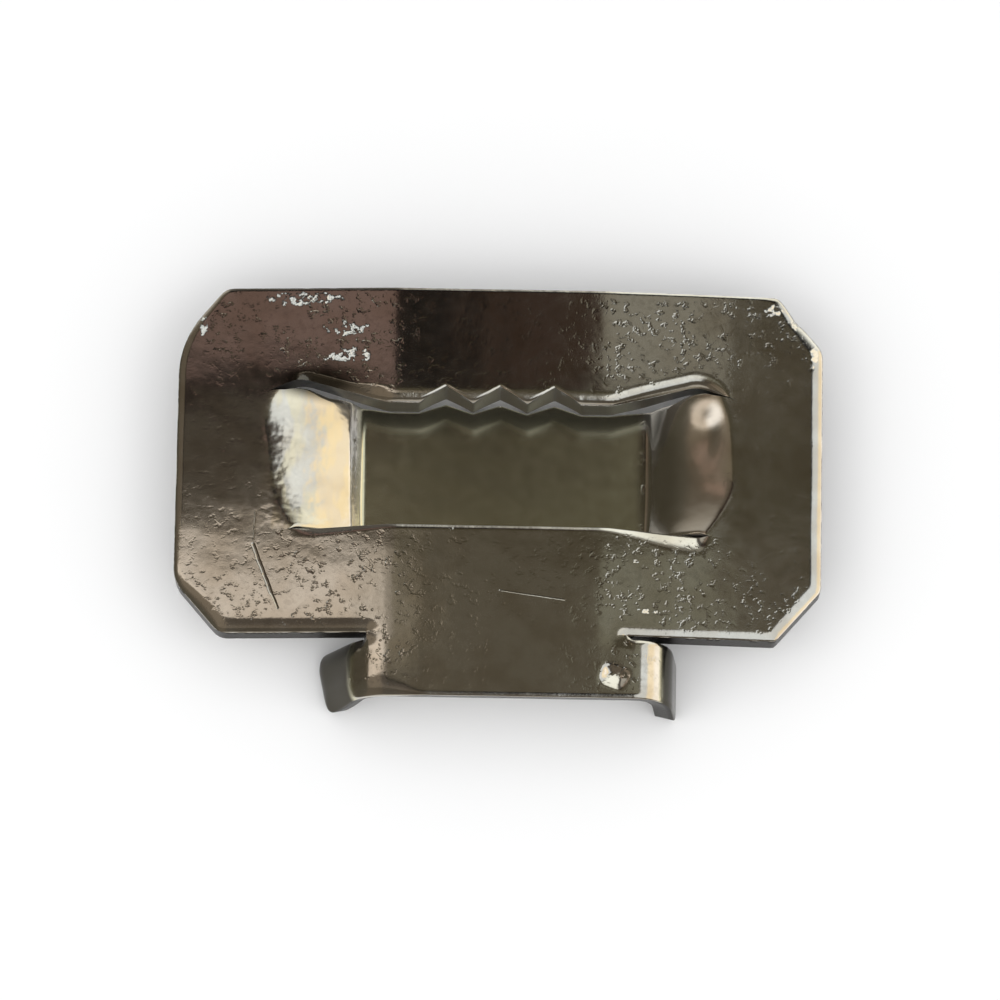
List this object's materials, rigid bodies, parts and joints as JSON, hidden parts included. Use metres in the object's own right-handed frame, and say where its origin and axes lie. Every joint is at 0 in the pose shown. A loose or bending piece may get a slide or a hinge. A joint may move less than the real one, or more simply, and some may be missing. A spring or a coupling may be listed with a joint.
{
  "type": "strapping buckle",
  "caption": "One-piece sheet steel strapping buckle: plate with clipped corners, lanced bridge behind a toothed window and a tongue with bent-back ears, for tensioned metal band.",
  "frame": {"origin": "centre of the bounding box in X and Y, on the plane of the bridge's back and the ear tips", "axes": "+X across the strap, +Y along the strap from the tongue to the toothed bar, +Z out of the front face"},
  "size_m": [0.044, 0.0298, 0.0046],
  "materials": {
    "steel": "bright tumbled stainless steel with fine scratches and eased edges"
  },
  "bodies": {
    "root": {"buckle": "steel"}
  },
  "joints": []
}
